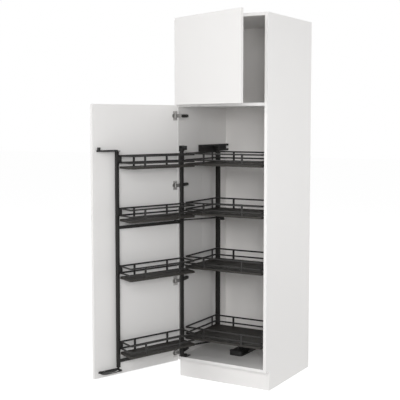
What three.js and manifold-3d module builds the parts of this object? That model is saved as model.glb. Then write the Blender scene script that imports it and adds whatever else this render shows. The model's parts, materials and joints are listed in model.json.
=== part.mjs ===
// Tall larder cabinet with a pull out: opening the lower door turns a shelf frame that follows the door
// and draws a second stack of shelves towards the front.
// Millimetres, +Z up. Every piece is drawn where it lies with both doors closed; the groups at the end
// open the doors. X runs from the left outer face, Y from the front edge of the case, Z from the floor.
import * as THREE from 'three';
import { mergeVertices } from 'three/addons/utils/BufferGeometryUtils.js';
import Module from 'manifold-3d';

const wasm = await Module();
wasm.setup();

// ---- Sizes: case ----
const cabinetWidth = 600;
const cabinetDepth = 610;
const cabinetHeight = 2146;
const panelThickness = 18;
const plinthHeight = 114;
const plinthSetback = 45;
const plinthThickness = 16;
const backPanelThickness = 6;
const backRailThickness = 18;
const backRailHeight = 100;
const grooveDepth = 8;
const seatGap = 0.3;
const fixedShelfTop = 1648;

// ---- Sizes: doors and their hinges ----
const doorThickness = 18;
const doorReveal = 1.5;
const doorStandoff = 2;
const hingeAxisInside = 6.7;
const hingeAxisAhead = 2.3;
const lowerDoorOpening = 109;
const upperDoorOpening = 21.7;
const lowerHingeHeights = [165, 600, 1168, 1576];
const upperHingeEndDistance = 100;
const cupRadius = 17.2;
const cupWall = 1.5;
const cupDepth = 12;
const cupEdgeDistance = 22.5;
const cupPlateThickness = 1.5;
const cupPlateHeight = 54;
const cupPlateStart = 4;
const cupPlateEnd = 35;
const cupCheekGap = 10.5;
const cupCheekThickness = 2.5;
const cupCheekHalfWidth = 5;
const cupCheekRise = 13.5;
const armHeight = 15;
const armPivotFromWall = 24;
const armPivotInside = 2.6;
const armEyeRadius = 3.4;
const armEyeTurns = [1.22, 2.1];
const armPlateThickness = 3;
const armPlateHeight = 18;
const armPlateDepth = 78;
const armPlateSetback = 20;
const armBodyEnd = 2;
const armBodyRise = 9;
const linkThickness = 2;
const linkHeight = 20;
const linkLength = 51;
const linkEyeRadius = 3;
const linkEarLength = 9;
const linkEyeClearance = 2;

// ---- Sizes: turning shelf frame behind the lower door ----
const framePivotFromWall = 38;
const framePivotInside = 12;
const frameTubeOffsetX = 26.5;
const frameTubeOffsetY = 2.8;
const frameTubeSize = 18;
const frameTubeRound = 2.5;
const outerTubeFromDoorEdge = 52;
const frameTubeTop = 1376;
const outerTubeBottom = 162;
const crossbarHeights = [197, 953];
const crossbarHeight = 17;
const crossbarDepth = 10;
const pivotArmThickness = 8;
const pivotArmRadius = 12.5;
const pivotPinRadius = 5;
const pivotPinLength = 8;
const pivotRunningGap = 0.4;
const pivotBossRadius = 12;
const pivotBossHeight = 9;
const bracketPlateThickness = 4;
const bracketPlateDepth = 43;
const topBracketDepth = 50;
const topBracketHeight = 33;
const topBracketArmHeight = 15.5;
const lugThickness = 6;
const lugRadius = 10;
const lugAlong = 62;
const lugInside = 20;

// ---- Sizes: guides on the door for the frame's outer tube ----
const guidePinRadius = 6;
const guidePinLength = 10;
const guideSlotClearance = 0.4;
const guideSlotWall = 5;
const guidePlateThickness = 3;
const guidePlateEnd = 19;
const guidePlateRound = 24;
const guideFlangeHeight = 10;
const guideFlangeThickness = 3;
const guideKnobRadius = 9.5;
const topGuideKnobHeight = 22;
const bottomGuideKnobHeight = 9;
const guideGap = 3;
const bottomGuideDrop = 13;

// ---- Sizes: shelves of both stacks ----
const shelfRailHeights = [309, 738, 1061, 1354];
const railWidth = 6;
const railHeight = 9;
const lowerRailDrop = 38;
const galleryHeight = 71;
const trayThickness = 12;
const trayOverhang = 3.5;
const postWidth = 13;
const postThickness = 4;
const hookThickness = 3;
const hookHeight = 48;
const hookReach = 24;
const shelfCornerRadius = 10;
const doorShelfStart = 12;
const doorShelfBackInset = 9;
const doorShelfFrontStart = 20;
const doorShelfFrontReach = 12;
const doorShelfDepth = 129.3;
const doorShelfPosts = [0.25, 0.78];
const innerShelfLeftSide = 27.5;
const innerShelfRightSide = 30;
const innerShelfDepth = 374.5;
const innerShelfPosts = [0.25, 0.75];
const innerShelfLeftPost = 0.87;
const innerShelfRightPost = 0.5;
const innerHookDepth = 11.5;

// ---- Sizes: inner stack's frame and drive ----
const innerTravel = 140;
const innerPostSize = 24;
const innerPostSide = 28;
const innerPostRound = 2.5;
const innerPostBackClearance = 4;
const innerPostTop = 1356;
const carrierThickness = 6;
const carrierHalfWidth = 13;
const carrierBossRadius = 11;
const drivePointFromWall = 178;
const drivePointFromPost = 213;
const driveLinkHalfWidth = 7;
const driveLinkEyeRadius = 10;
const driveLinkThickness = 6;
const driveLinkGap = 0.5;
const driveLinkPinRadius = 4;
const driveLinkPinLength = 7;
const runnerOffset = 5;
const runnerFront = 182;
const runnerLength = 312;
const runnerBaseWidth = 86;
const runnerBaseHeight = 5;
const runnerWebWidth = 18;
const runnerWebHeight = 12;
const runnerNoseRadius = 17;
const runnerNoseHeight = 30;
const carriageWidth = 60;
const carriageLength = 84;
const carriageHeight = 26;
const carriageGap = 0.5;
const carriageBehindNose = 3;
const wallRailHeight = 42;
const wallRailDepth = 20;
const wallRailWall = 3;
const wallRailLength = 350;
const wallRailAbovePost = 2;
const sliderLength = 20;
const sliderHeight = 16;
const sliderReach = 16;

// ---- Sizes worked out from the ones above ----
const innerLeft = panelThickness;
const innerRight = cabinetWidth - panelThickness;
const bottomPanelTop = plinthHeight + panelThickness;
const backPanelFront = cabinetDepth - backRailThickness - backPanelThickness;
const plinthBack = plinthSetback + plinthThickness;
const doorInner = -doorStandoff;
const doorOuter = doorInner - doorThickness;
const doorLeft = doorReveal;
const doorRight = cabinetWidth - doorReveal;
const doorSplit = fixedShelfTop - panelThickness / 2;
const lowerDoorBottom = plinthHeight + doorReveal;
const lowerDoorTop = doorSplit - doorReveal;
const upperDoorBottom = doorSplit + doorReveal;
const upperDoorTop = cabinetHeight - doorReveal;
const hingeAxis = new THREE.Vector2(hingeAxisInside, doorOuter - hingeAxisAhead);
const upperHingeHeights = [upperDoorBottom + upperHingeEndDistance, upperDoorTop - upperHingeEndDistance];
const armPivot = new THREE.Vector2(innerLeft + armPivotFromWall, armPivotInside);
const framePivot = new THREE.Vector2(innerLeft + framePivotFromWall, framePivotInside);
const pivotTube = framePivot.clone().add(new THREE.Vector2(frameTubeOffsetX, frameTubeOffsetY));
const outerTube = new THREE.Vector2(doorRight - outerTubeFromDoorEdge, pivotTube.y);
const pivotArmBottom = bottomPanelTop + pivotBossHeight + pivotRunningGap;
const pivotTubeBottom = pivotArmBottom + pivotArmThickness;
const pivotArmTop = frameTubeTop + pivotArmThickness;
const drivePointOnFrame = new THREE.Vector2(pivotTube.x + lugAlong, pivotTube.y + lugInside);
const innerPost = new THREE.Vector2(
  innerLeft + innerPostSide,
  backPanelFront - innerPostBackClearance - innerPostSize / 2
);
const drivePoint = new THREE.Vector2(innerLeft + drivePointFromWall, innerPost.y - drivePointFromPost);
const openingAngle = THREE.MathUtils.degToRad(lowerDoorOpening);
const driveReachClosed = drivePointOnFrame.clone().sub(drivePoint);
const driveReachOpen = drivePointOnFrame.clone().rotateAround(framePivot, -openingAngle).sub(drivePoint);
driveReachOpen.y += innerTravel;
const driveLinkLength = driveReachOpen.length();
const driveLinkTurn = driveReachClosed.angle() - driveReachOpen.angle();
const crossbarTops = crossbarHeights.map((height) => height + crossbarHeight / 2);
const wallRailBottom = innerPostTop + wallRailAbovePost;
const runnerX = cabinetWidth / 2 + runnerOffset;
const carriageFront = runnerFront + 2 * runnerNoseRadius + carriageBehindNose + innerTravel;

// ---- Materials ----
const finish = (color, roughness, metalness) =>
  new THREE.MeshStandardMaterial({ color, roughness, metalness });
const whiteFoil = finish(0xf2f1ee, 0.45, 0);
const whiteBack = finish(0xe6e5e1, 0.6, 0);
const anthraciteSteel = finish(0x3a3634, 0.5, 0.3);
const greyRail = finish(0x7c7876, 0.4, 0.5);
const darkTray = finish(0x2c2827, 0.6, 0);
const nickelSteel = finish(0xb9b7b2, 0.3, 0.9);
const blackPlastic = finish(0x161616, 0.5, 0);

// ---- Shaping helpers ----
const cornerSegments = 2;
const roundEndSegments = 5;
const guideSegments = 9;
const barSides = 20;
const discSides = 28;
const tipSides = 12;
const mergeDistance = 1e-4;
const overlap = 1; // how far joined solids and cutters reach past the faces that they meet

function toSolid(geometry) {
  const bare = geometry.clone();
  bare.deleteAttribute('normal');
  bare.deleteAttribute('uv');
  const merged = mergeVertices(bare, mergeDistance);
  return new wasm.Manifold(new wasm.Mesh({
    numProp: 3,
    vertProperties: merged.attributes.position.array,
    triVerts: new Uint32Array(merged.index.array)
  }));
}

function toGeometry(solid) {
  const mesh = solid.getMesh();
  const geometry = new THREE.BufferGeometry();
  geometry.setAttribute('position', new THREE.BufferAttribute(mesh.vertProperties, 3));
  geometry.setIndex(new THREE.BufferAttribute(mesh.triVerts, 1));
  geometry.computeVertexNormals();
  return geometry;
}

const join = (...geometries) => toGeometry(geometries.map(toSolid).reduce((sum, next) => sum.add(next)));
const cut = (geometry, ...tools) =>
  toGeometry(tools.map(toSolid).reduce((rest, tool) => rest.subtract(tool), toSolid(geometry)));

function box(x0, x1, y0, y1, z0, z1) {
  const geometry = new THREE.BoxGeometry(x1 - x0, y1 - y0, z1 - z0);
  return geometry.translate((x0 + x1) / 2, (y0 + y1) / 2, (z0 + z1) / 2);
}

function upright(shape, z0, z1, curveSegments = cornerSegments) {
  const settings = { depth: z1 - z0, bevelEnabled: false, curveSegments };
  return new THREE.ExtrudeGeometry(shape, settings).translate(0, 0, z0);
}

function roundBar(centre, radius, z0, z1, sides = barSides) {
  const geometry = new THREE.CylinderGeometry(radius, radius, z1 - z0, sides);
  return geometry.rotateX(Math.PI / 2).translate(centre.x, centre.y, (z0 + z1) / 2);
}

// A straight bar seen from above, with a round end at each of its two points.
function capsule(from, to, radius) {
  const heading = Math.atan2(to.y - from.y, to.x - from.x);
  const shape = new THREE.Shape();
  shape.absarc(to.x, to.y, radius, heading - Math.PI / 2, heading + Math.PI / 2);
  shape.absarc(from.x, from.y, radius, heading + Math.PI / 2, heading + Math.PI * 1.5);
  shape.closePath();
  return shape;
}

const uprightCapsule = (from, to, radius, z0, z1) =>
  upright(capsule(from, to, radius), z0, z1, roundEndSegments);

// Moves every edge of a counter-clockwise outline outwards by one distance.
function grow(corners, distance) {
  return corners.map((corner, index) => {
    const before = corners.at(index - 1);
    const after = corners[(index + 1) % corners.length];
    const inward = corner.clone().sub(before).normalize();
    const outward = after.clone().sub(corner).normalize();
    const normalIn = new THREE.Vector2(inward.y, -inward.x);
    const normalOut = new THREE.Vector2(outward.y, -outward.x);
    const reach = distance / (1 + normalIn.dot(normalOut));
    return corner.clone().addScaledVector(normalIn.add(normalOut), reach);
  });
}

// An outline with straight sides whose corners are rounded to one radius.
function roundedOutline(corners, radius, Outline = THREE.Shape) {
  const outline = new Outline();
  corners.forEach((corner, index) => {
    const toBefore = corners.at(index - 1).clone().sub(corner).normalize();
    const toAfter = corners[(index + 1) % corners.length].clone().sub(corner).normalize();
    const halfAngle = toBefore.angleTo(toAfter) / 2;
    const tangent = radius / Math.tan(halfAngle);
    const start = corner.clone().addScaledVector(toBefore, tangent);
    const middle = toBefore.clone().add(toAfter).normalize();
    const centre = corner.clone().addScaledVector(middle, radius / Math.sin(halfAngle));
    const end = corner.clone().addScaledVector(toAfter, tangent);
    const startAngle = Math.atan2(start.y - centre.y, start.x - centre.x);
    const endAngle = Math.atan2(end.y - centre.y, end.x - centre.x);
    outline.absarc(centre.x, centre.y, radius, startAngle, endAngle, false);
  });
  outline.closePath();
  return outline;
}

function squareTube(centre, size, round, z0, z1) {
  const half = size / 2;
  const corners = [[-half, -half], [half, -half], [half, half], [-half, half]]
    .map(([x, y]) => new THREE.Vector2(centre.x + x, centre.y + y));
  return upright(roundedOutline(corners, round), z0, z1);
}

const piece = (name, material, geometry) => {
  const mesh = new THREE.Mesh(geometry, material);
  mesh.name = name;
  return mesh;
};

// ---- Case ----
function sidePanel(x0, grooveX0) {
  const profile = new THREE.Shape();
  profile.moveTo(0, plinthHeight);
  profile.lineTo(plinthBack, plinthHeight);
  profile.lineTo(plinthBack, 0);
  profile.lineTo(cabinetDepth, 0);
  profile.lineTo(cabinetDepth, cabinetHeight);
  profile.lineTo(0, cabinetHeight);
  profile.closePath();
  const board = new THREE.ExtrudeGeometry(profile, { depth: panelThickness, bevelEnabled: false });
  board.rotateX(Math.PI / 2).rotateZ(Math.PI / 2).translate(x0, 0, 0);
  const grooveFront = backPanelFront - seatGap;
  const grooveBack = backPanelFront + backPanelThickness + seatGap;
  const grooveEnd = grooveX0 + grooveDepth + overlap;
  return cut(board, box(grooveX0, grooveEnd, grooveFront, grooveBack, -overlap, cabinetHeight + overlap));
}

function casePieces() {
  const backEdge = innerLeft - grooveDepth + seatGap;
  const railFront = backPanelFront + backPanelThickness;
  const crossPanel = (z0) => box(innerLeft, innerRight, 0, backPanelFront, z0, z0 + panelThickness);
  const backRail = (z0) => box(innerLeft, innerRight, railFront, cabinetDepth, z0, z0 + backRailHeight);
  return [
    piece('side_panel_left', whiteFoil, sidePanel(0, innerLeft - grooveDepth)),
    piece('side_panel_right', whiteFoil, sidePanel(innerRight, innerRight - overlap)),
    piece('top_panel', whiteFoil, crossPanel(cabinetHeight - panelThickness)),
    piece('fixed_shelf', whiteFoil, crossPanel(fixedShelfTop - panelThickness)),
    piece('bottom_panel', whiteFoil, crossPanel(plinthHeight)),
    piece('back_panel', whiteBack,
      box(backEdge, cabinetWidth - backEdge, backPanelFront, railFront, plinthHeight, cabinetHeight)),
    piece('back_rail_top', whiteBack, backRail(cabinetHeight - backRailHeight)),
    piece('back_rail_bottom', whiteBack, backRail(plinthHeight)),
    piece('plinth_board', whiteFoil, box(0, cabinetWidth, plinthSetback, plinthBack, 0, plinthHeight))
  ];
}

// ---- Doors ----
const cupCentreX = doorLeft + cupEdgeDistance;

function lyingDisc(radius, x, y0, y1, z) {
  return new THREE.CylinderGeometry(radius, radius, y1 - y0, discSides).translate(x, (y0 + y1) / 2, z);
}

function door(z0, z1, hingeHeights) {
  const board = box(doorLeft, doorRight, doorOuter, doorInner, z0, z1);
  const pocketFloor = doorInner - cupDepth - 2 * seatGap;
  const pocketRadius = cupRadius + seatGap;
  const pockets = hingeHeights.map((z) =>
    lyingDisc(pocketRadius, cupCentreX, pocketFloor, doorInner + overlap, z));
  return cut(board, ...pockets);
}

// Each hinge has a cup in the door, an arm on the case side and the link between them.
function hingeCup(z) {
  const plateBack = doorInner + seatGap;
  const plateFront = plateBack + cupPlateThickness;
  const cupFloor = doorInner - cupDepth;
  const plate = box(doorLeft + cupPlateStart, doorLeft + cupPlateEnd, plateBack, plateFront,
    z - cupPlateHeight / 2, z + cupPlateHeight / 2);
  const cup = lyingDisc(cupRadius, cupCentreX, cupFloor, plateBack + seatGap, z);
  const hollow = lyingDisc(cupRadius - cupWall, cupCentreX, cupFloor + cupWall, plateFront + overlap, z);
  const cheek = (z0) => box(cupCentreX - cupCheekHalfWidth, cupCentreX + cupCheekHalfWidth,
    cupFloor + cupWall / 2, doorInner + cupCheekRise, z0, z0 + cupCheekThickness);
  const shell = cut(join(plate, cup), hollow);
  return join(shell, cheek(z + cupCheekGap), cheek(z - cupCheekGap - cupCheekThickness));
}

function hingeArm(z) {
  const plateFace = innerLeft + armPlateThickness;
  const plateBack = armPlateSetback + armPlateDepth;
  const plate = box(innerLeft, plateFace, armPlateSetback, plateBack,
    z - armPlateHeight / 2, z + armPlateHeight / 2);
  const [eyeFrom, eyeTo] = armEyeTurns.map((turns) => Math.PI * turns);
  const root = plateFace - armPlateThickness / 2;
  const outline = new THREE.Shape();
  outline.moveTo(root, armPlateSetback + armBodyEnd);
  outline.absarc(armPivot.x, armPivot.y, armEyeRadius, eyeFrom, eyeTo);
  outline.lineTo(plateFace + armBodyRise, plateBack - armBodyEnd);
  outline.lineTo(root, plateBack - armBodyEnd);
  outline.closePath();
  const arm = upright(outline, z - armHeight / 2, z + armHeight / 2, roundEndSegments);
  return join(plate, arm);
}

// The link is a flat plate with two ears round the arm's eye and a rolled eye at the cup's end.
function hingeLink(z) {
  const half = linkHeight / 2;
  const earGap = armHeight / 2 + seatGap;
  const tip = new THREE.Vector2(armPivot.x + linkLength, armPivot.y);
  const earEnd = new THREE.Vector2(armPivot.x + linkEarLength, armPivot.y);
  const webStart = armPivot.x + armEyeRadius + linkEyeClearance;
  const webFront = armPivot.y - linkThickness / 2;
  const webBack = armPivot.y + linkThickness / 2;
  const web = box(webStart, tip.x, webFront, webBack, z - half, z + half);
  const trim = (y0, y1) => box(webStart + linkEyeClearance, tip.x, y0, y1, z - linkHeight, z + linkHeight);
  const ear = (z0, z1) => cut(uprightCapsule(armPivot, earEnd, linkEyeRadius, z0, z1),
    trim(webBack, webBack + linkHeight), trim(webFront - linkHeight, webFront));
  const tipEye = roundBar(tip, linkEyeRadius - linkThickness / 2, z - half, z + half, tipSides);
  return join(web, tipEye, ear(z + earGap, z + half), ear(z - half, z - earGap));
}

const hingePieces = (label, heights, material, make) =>
  heights.map((z, index) => piece(`${label}_${index + 1}`, material, make(z)));

// ---- Guides on the lower door ----
// The frame and the door turn by the same angle about two different axes, so the frame's outer tube
// moves over the door on a circular arc. Each guide plate holds that arc as a slot for the tube's pin.
const axisOffset = framePivot.clone().sub(hingeAxis);
const guideRadius = axisOffset.length();
const guideCentre = outerTube.clone().sub(axisOffset);
const guideStart = axisOffset.angle();
const guideEnd = guideStart + openingAngle;

const guideSlotHalf = guidePinRadius + guideSlotClearance;
const guideBack = doorInner + seatGap;
const onGuide = (angle) =>
  new THREE.Vector2(Math.cos(angle), Math.sin(angle)).multiplyScalar(guideRadius).add(guideCentre);
const slotFirst = onGuide(guideStart);
const slotLast = onGuide(guideEnd);
const guideLeft = slotLast.x - guideSlotHalf - guideSlotWall;
const guideRight = slotFirst.x + guideSlotHalf + guidePlateEnd;

function guidePlate(z0) {
  const reach = guideCentre.y + guideRadius + guideSlotHalf + guideSlotWall;
  const cornerY = reach - guidePlateRound;
  const plate = new THREE.Shape();
  plate.moveTo(guideLeft, guideBack);
  plate.lineTo(guideRight, guideBack);
  plate.absarc(guideRight - guidePlateRound, cornerY, guidePlateRound, 0, Math.PI / 2);
  plate.absarc(guideLeft + guidePlateRound, cornerY, guidePlateRound, Math.PI / 2, Math.PI);
  plate.closePath();
  const slot = new THREE.Path();
  slot.absarc(guideCentre.x, guideCentre.y, guideRadius + guideSlotHalf, guideStart, guideEnd);
  slot.absarc(slotLast.x, slotLast.y, guideSlotHalf, guideEnd, guideEnd + Math.PI);
  slot.absarc(guideCentre.x, guideCentre.y, guideRadius - guideSlotHalf, guideEnd, guideStart, true);
  slot.absarc(slotFirst.x, slotFirst.y, guideSlotHalf, guideStart + Math.PI, guideStart + 2 * Math.PI);
  plate.holes.push(slot);
  return upright(plate, z0, z0 + guidePlateThickness, guideSegments);
}

const guideFlange = (z0) =>
  box(guideLeft, guideRight, guideBack, guideBack + guideFlangeThickness, z0, z0 + guideFlangeHeight);

const topGuidePlateBottom = frameTubeTop + guideGap;
const bottomGuidePlateTop = outerTubeBottom - bottomGuideDrop;
const knobCentre = new THREE.Vector2(guideRight - guideKnobRadius, guideBack + guideKnobRadius);

function guidePieces() {
  const knob = (z0, height) => roundBar(knobCentre, guideKnobRadius, z0, z0 + height);
  const top = join(guidePlate(topGuidePlateBottom), guideFlange(topGuidePlateBottom - guideGap),
    knob(topGuidePlateBottom, topGuideKnobHeight));
  const plateBottom = bottomGuidePlateTop - guidePlateThickness;
  const bottom = join(guidePlate(plateBottom), guideFlange(plateBottom - guideGap),
    knob(plateBottom, bottomGuideKnobHeight));
  return [piece('top_guide', blackPlastic, top), piece('bottom_guide', blackPlastic, bottom)];
}

// ---- Turning shelf frame ----
function pivotTubePiece() {
  const tube = squareTube(pivotTube, frameTubeSize, frameTubeRound,
    pivotTubeBottom - overlap, frameTubeTop + overlap);
  const armBottom = uprightCapsule(framePivot, pivotTube, pivotArmRadius, pivotArmBottom, pivotTubeBottom);
  const armTop = uprightCapsule(framePivot, pivotTube, pivotArmRadius, frameTubeTop, pivotArmTop);
  const pinFoot = pivotArmBottom - pivotPinLength;
  const pinBottom = roundBar(framePivot, pivotPinRadius, pinFoot, pivotArmBottom + overlap);
  const pinTop = roundBar(framePivot, pivotPinRadius, pivotArmTop - overlap, pivotArmTop + pivotPinLength);
  return join(tube, armBottom, armTop, pinBottom, pinTop);
}

function outerTubePiece() {
  const tube = squareTube(outerTube, frameTubeSize, frameTubeRound, outerTubeBottom, frameTubeTop);
  const pinFoot = bottomGuidePlateTop - guidePlateThickness - overlap;
  const lowerPin = roundBar(outerTube, guidePinRadius, pinFoot, outerTubeBottom + overlap);
  const pinTop = frameTubeTop + guidePinLength;
  const upperPin = roundBar(outerTube, guidePinRadius, frameTubeTop - overlap, pinTop);
  return join(tube, lowerPin, upperPin);
}

// A crossbar between the tubes, with the lug that pulls on the inner stack's drive link.
function crossbar(top) {
  const start = pivotTube.x + frameTubeSize / 2 + seatGap;
  const end = outerTube.x - frameTubeSize / 2 - seatGap;
  const bar = box(start, end, pivotTube.y - crossbarDepth / 2, pivotTube.y + crossbarDepth / 2,
    top - crossbarHeight, top);
  const root = new THREE.Vector2(drivePointOnFrame.x, pivotTube.y);
  const lug = uprightCapsule(root, drivePointOnFrame, lugRadius, top - lugThickness, top);
  const clear = box(start, end, pivotTube.y - 2 * lugRadius, pivotTube.y - crossbarDepth / 2,
    top - 2 * lugThickness, top + lugThickness);
  return join(bar, cut(lug, clear));
}

function framePieces() {
  return [
    piece('frame_pivot_tube', anthraciteSteel, pivotTubePiece()),
    piece('frame_outer_tube', anthraciteSteel, outerTubePiece()),
    piece('frame_low_bar', anthraciteSteel, crossbar(crossbarTops[0])),
    piece('frame_middle_bar', anthraciteSteel, crossbar(crossbarTops[1]))
  ];
}

// ---- Brackets that carry the frame's pivot ----
function bottomBracket() {
  const halfWidth = pivotBossRadius;
  const plate = box(framePivot.x - halfWidth, framePivot.x + halfWidth, framePivot.y,
    framePivot.y + bracketPlateDepth, bottomPanelTop, bottomPanelTop + bracketPlateThickness);
  const boss = roundBar(framePivot, pivotBossRadius, bottomPanelTop, bottomPanelTop + pivotBossHeight);
  const bore = roundBar(framePivot, pivotPinRadius + seatGap,
    pivotArmBottom - pivotPinLength - seatGap, pivotArmBottom + overlap);
  return cut(join(plate, boss), bore);
}

function topBracket() {
  const armBottom = pivotArmTop + pivotRunningGap;
  const armTop = armBottom + topBracketArmHeight;
  const platePlan = box(innerLeft, innerLeft + bracketPlateThickness, framePivot.y - pivotBossRadius / 2,
    framePivot.y + topBracketDepth, armTop - topBracketHeight, armTop);
  const root = new THREE.Vector2(innerLeft + pivotBossRadius, framePivot.y + pivotBossRadius);
  const arm = uprightCapsule(root, framePivot, pivotBossRadius, armBottom, armTop);
  const wall = box(innerLeft - 2 * pivotBossRadius, innerLeft, framePivot.y - 3 * pivotBossRadius,
    framePivot.y + 3 * pivotBossRadius, armBottom - overlap, armTop + overlap);
  const bore = roundBar(framePivot, pivotPinRadius + seatGap, armBottom - overlap, armTop + overlap);
  return cut(join(platePlan, arm), wall, bore);
}

// ---- Shelves ----
function gallery(corners, railTop, posts, hooks) {
  const half = railWidth / 2;
  const ring = (z0) => {
    const outline = roundedOutline(grow(corners, half), shelfCornerRadius + half);
    outline.holes.push(roundedOutline(grow(corners, -half), shelfCornerRadius - half, THREE.Path));
    return upright(outline, z0, z0 + railHeight);
  };
  const topRail = railTop - railHeight / 2;
  const postFoot = railTop - galleryHeight + trayThickness + seatGap;
  const standing = posts.map(({ at, along }) => {
    const halfX = (along === 'x' ? postWidth : postThickness) / 2;
    const halfY = (along === 'x' ? postThickness : postWidth) / 2;
    return box(at.x - halfX, at.x + halfX, at.y - halfY, at.y + halfY, postFoot, railTop);
  });
  return join(ring(topRail), ring(topRail - lowerRailDrop), ...standing, ...hooks);
}

function tray(corners, railTop) {
  const outline = roundedOutline(grow(corners, trayOverhang), shelfCornerRadius + trayOverhang);
  const bottom = railTop - galleryHeight;
  return upright(outline, bottom, bottom + trayThickness);
}

const pointBetween = (from, to, share) => from.clone().lerp(to, share);
const postsOn = (from, to, shares, along) =>
  shares.map((share) => ({ at: pointBetween(from, to, share), along }));

function doorShelfPieces(railTop, number) {
  const back = pivotTube.y + frameTubeSize / 2 + seatGap + railWidth / 2;
  const front = back + doorShelfDepth;
  const corners = [
    new THREE.Vector2(pivotTube.x + doorShelfStart, back),
    new THREE.Vector2(outerTube.x - doorShelfBackInset, back),
    new THREE.Vector2(outerTube.x + doorShelfFrontReach, front),
    new THREE.Vector2(pivotTube.x + doorShelfFrontStart, front)
  ];
  const [backLeft, backRight, frontRight, frontLeft] = corners;
  const posts = [
    ...postsOn(backLeft, backRight, doorShelfPosts, 'x'),
    ...postsOn(frontLeft, frontRight, doorShelfPosts, 'x')
  ];
  const hookTop = railTop + railHeight / 2;
  const hook = (x0) => box(x0, x0 + hookReach + frameTubeSize / 2, back - railWidth / 2,
    back - railWidth / 2 + hookThickness, hookTop - hookHeight, hookTop);
  const hooks = [hook(pivotTube.x - frameTubeSize / 2), hook(outerTube.x - hookReach)];
  return [
    piece(`door_shelf_rail_${number}`, greyRail, gallery(corners, railTop, posts, hooks)),
    piece(`door_shelf_tray_${number}`, darkTray, tray(corners, railTop))
  ];
}

function innerShelfPieces(railTop, number) {
  const left = innerLeft + innerShelfLeftSide;
  const right = innerRight - innerShelfRightSide;
  const back = innerPost.y - innerPostSize / 2 - innerHookDepth;
  const front = back - innerShelfDepth;
  const corners = [[left, front], [right, front], [right, back], [left, back]]
    .map(([x, y]) => new THREE.Vector2(x, y));
  const [frontLeft, frontRight, backRight, backLeft] = corners;
  const posts = [
    ...postsOn(frontLeft, frontRight, innerShelfPosts, 'x'),
    ...postsOn(backLeft, backRight, innerShelfPosts, 'x'),
    ...postsOn(frontLeft, backLeft, [innerShelfLeftPost], 'y'),
    ...postsOn(frontRight, backRight, [innerShelfRightPost], 'y')
  ];
  const hookTop = railTop + railHeight / 2;
  const hook = box(left - railWidth / 2, innerPost.x + innerPostSize / 2 + shelfCornerRadius,
    back - railWidth / 2, innerPost.y - innerPostSize / 2 - seatGap, hookTop - hookHeight, hookTop);
  return [
    piece(`inner_shelf_rail_${number}`, greyRail, gallery(corners, railTop, posts, [hook])),
    piece(`inner_shelf_tray_${number}`, darkTray, tray(corners, railTop))
  ];
}

// ---- Inner stack's frame, its drive links and the rails it runs in ----
const carrierTopLow = crossbarTops[0] - driveLinkPinLength;
const carrierTopMiddle = crossbarTops[1] - driveLinkPinLength;

function carrierBar(points, top) {
  const bars = points.slice(1).map((point, index) =>
    uprightCapsule(points[index], point, carrierHalfWidth, top - carrierThickness, top));
  return bars.length > 1 ? join(...bars) : bars[0];
}

function driveBoss(top, bossTop) {
  const boss = roundBar(drivePoint, carrierBossRadius, top - carrierThickness, bossTop);
  const boreRadius = driveLinkPinRadius + seatGap;
  const bore = roundBar(drivePoint, boreRadius, top - carrierThickness - overlap, bossTop + overlap);
  return { boss, bore };
}

function lowCarrier() {
  const runnerPoint = new THREE.Vector2(runnerX, carriageFront + carriageLength / 2);
  const bars = carrierBar([innerPost, drivePoint, runnerPoint], carrierTopLow);
  const { boss, bore } = driveBoss(carrierTopLow, crossbarTops[0]);
  const blockBottom = bottomPanelTop + runnerBaseHeight + carriageGap;
  const blockTop = blockBottom + carriageHeight;
  const block = box(runnerX - carriageWidth / 2, runnerX + carriageWidth / 2, carriageFront,
    carriageFront + carriageLength, blockBottom, blockTop);
  const columnTop = carrierTopLow - carrierThickness / 2;
  const column = roundBar(runnerPoint, carrierHalfWidth, blockTop - overlap, columnTop);
  const groove = box(runnerX - runnerWebWidth / 2 - carriageGap, runnerX + runnerWebWidth / 2 + carriageGap,
    carriageFront - overlap, carriageFront + carriageLength + overlap, blockBottom - overlap,
    bottomPanelTop + runnerBaseHeight + runnerWebHeight + carriageGap);
  return cut(join(bars, boss, block, column), bore, groove);
}

function middleCarrier() {
  const bar = carrierBar([innerPost, drivePoint], carrierTopMiddle);
  const { boss, bore } = driveBoss(carrierTopMiddle, crossbarTops[1]);
  const post = squareTube(innerPost, innerPostSize + 2 * seatGap, innerPostRound,
    carrierTopMiddle - carrierThickness - overlap, carrierTopMiddle + overlap);
  const behind = box(innerPost.x - innerPostSize, innerPost.x + innerPostSize / 2 + seatGap,
    innerPost.y - innerPostSize / 2 - seatGap, innerPost.y + innerPostSize,
    carrierTopMiddle - carrierThickness - overlap, carrierTopMiddle + overlap);
  return cut(join(bar, boss), bore, post, behind);
}

const slotHalfHeight = sliderHeight / 2 + carriageGap;
const wallRailMiddle = wallRailBottom + wallRailHeight / 2;

function innerPostPiece() {
  const post = squareTube(innerPost, innerPostSize, innerPostRound, carrierTopLow, innerPostTop);
  const half = sliderLength / 2;
  const railFace = innerLeft + wallRailDepth;
  const webEnd = innerPost.x + innerPostSize / 4;
  const web = box(railFace + carriageGap, webEnd, innerPost.y - half, innerPost.y + half,
    innerPostTop - overlap, wallRailMiddle + sliderHeight / 2);
  const slider = box(railFace - sliderReach, innerPost.x, innerPost.y - half, innerPost.y + half,
    wallRailMiddle - sliderHeight / 2, wallRailMiddle + sliderHeight / 2);
  return join(post, web, slider);
}

function wallRail() {
  const back = backPanelFront - innerPostBackClearance;
  const front = back - wallRailLength;
  const face = innerLeft + wallRailDepth;
  const top = wallRailBottom + wallRailHeight;
  const inside = innerLeft + wallRailWall;
  const stop = front + wallRailWall;
  const body = box(innerLeft, face, front, back, wallRailBottom, top);
  const channel = box(inside, face - wallRailWall, stop, back + overlap,
    wallRailBottom + wallRailWall, top - wallRailWall);
  const mouth = box(inside + overlap, face + overlap, stop, back + overlap,
    wallRailMiddle - slotHalfHeight, wallRailMiddle + slotHalfHeight);
  return cut(body, channel, mouth);
}

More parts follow.
